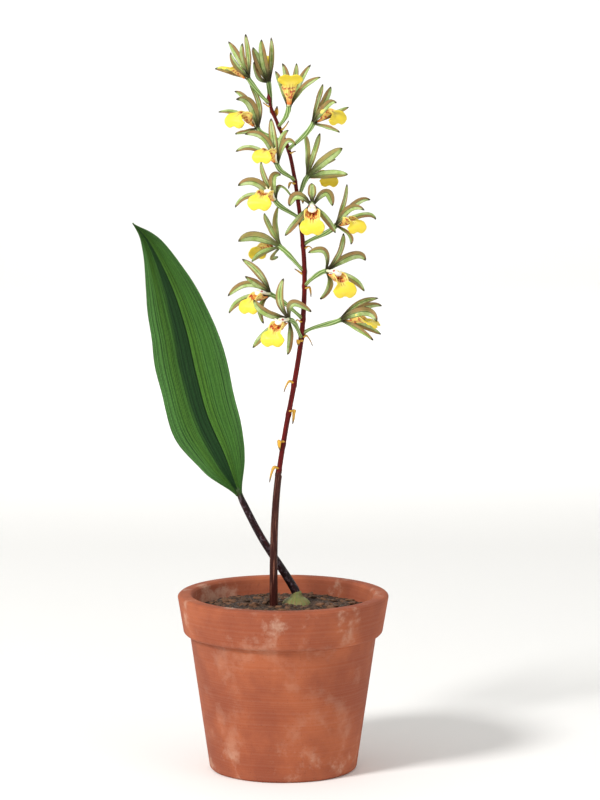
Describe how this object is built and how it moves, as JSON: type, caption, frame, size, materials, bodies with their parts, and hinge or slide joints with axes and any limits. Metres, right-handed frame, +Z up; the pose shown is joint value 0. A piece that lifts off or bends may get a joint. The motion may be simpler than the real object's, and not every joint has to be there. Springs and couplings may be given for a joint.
{
  "type": "potted orchid",
  "caption": "Potted orchid with a long pleated leaf and an arched spray of olive flowers with yellow lips, in a plain terracotta pot.",
  "frame": {"origin": "centre of the underside of the pot", "axes": "+Z up along the pot, +Y away from the viewer, so the picture's view looks along +Y with +X to the right"},
  "size_m": [0.1331, 0.1104, 0.3851],
  "materials": {
    "pot": "matte",
    "soil": "matte",
    "pseudobulb": "satin",
    "leaf": "satin",
    "scape": "satin",
    "bloom": "satin",
    "lip": "satin",
    "column": "satin"
  },
  "bodies": {
    "root": {"pot": "pot", "soil": "soil", "pseudobulb": "pseudobulb", "leaf": "leaf", "scape": "scape", "bloom_01": "bloom", "lip_01": "lip", "column_01": "column", "bloom_02": "bloom", "lip_02": "lip", "column_02": "column", "bloom_03": "bloom", "lip_03": "lip", "column_03": "column", "bloom_04": "bloom", "lip_04": "lip", "column_04": "column", "bloom_05": "bloom", "lip_05": "lip", "column_05": "column", "bloom_06": "bloom", "lip_06": "lip", "column_06": "column", "bloom_07": "bloom", "lip_07": "lip", "column_07": "column", "bloom_08": "bloom", "lip_08": "lip", "column_08": "column", "bloom_09": "bloom", "lip_09": "lip", "column_09": "column", "bloom_10": "bloom", "lip_10": "lip", "column_10": "column", "bloom_11": "bloom", "lip_11": "lip", "column_11": "column", "bloom_12": "bloom", "lip_12": "lip", "column_12": "column", "bloom_13": "bloom", "lip_13": "lip", "column_13": "column", "bloom_14": "bloom", "lip_14": "lip", "column_14": "column", "bloom_15": "bloom", "lip_15": "lip", "column_15": "column"}
  },
  "joints": []
}
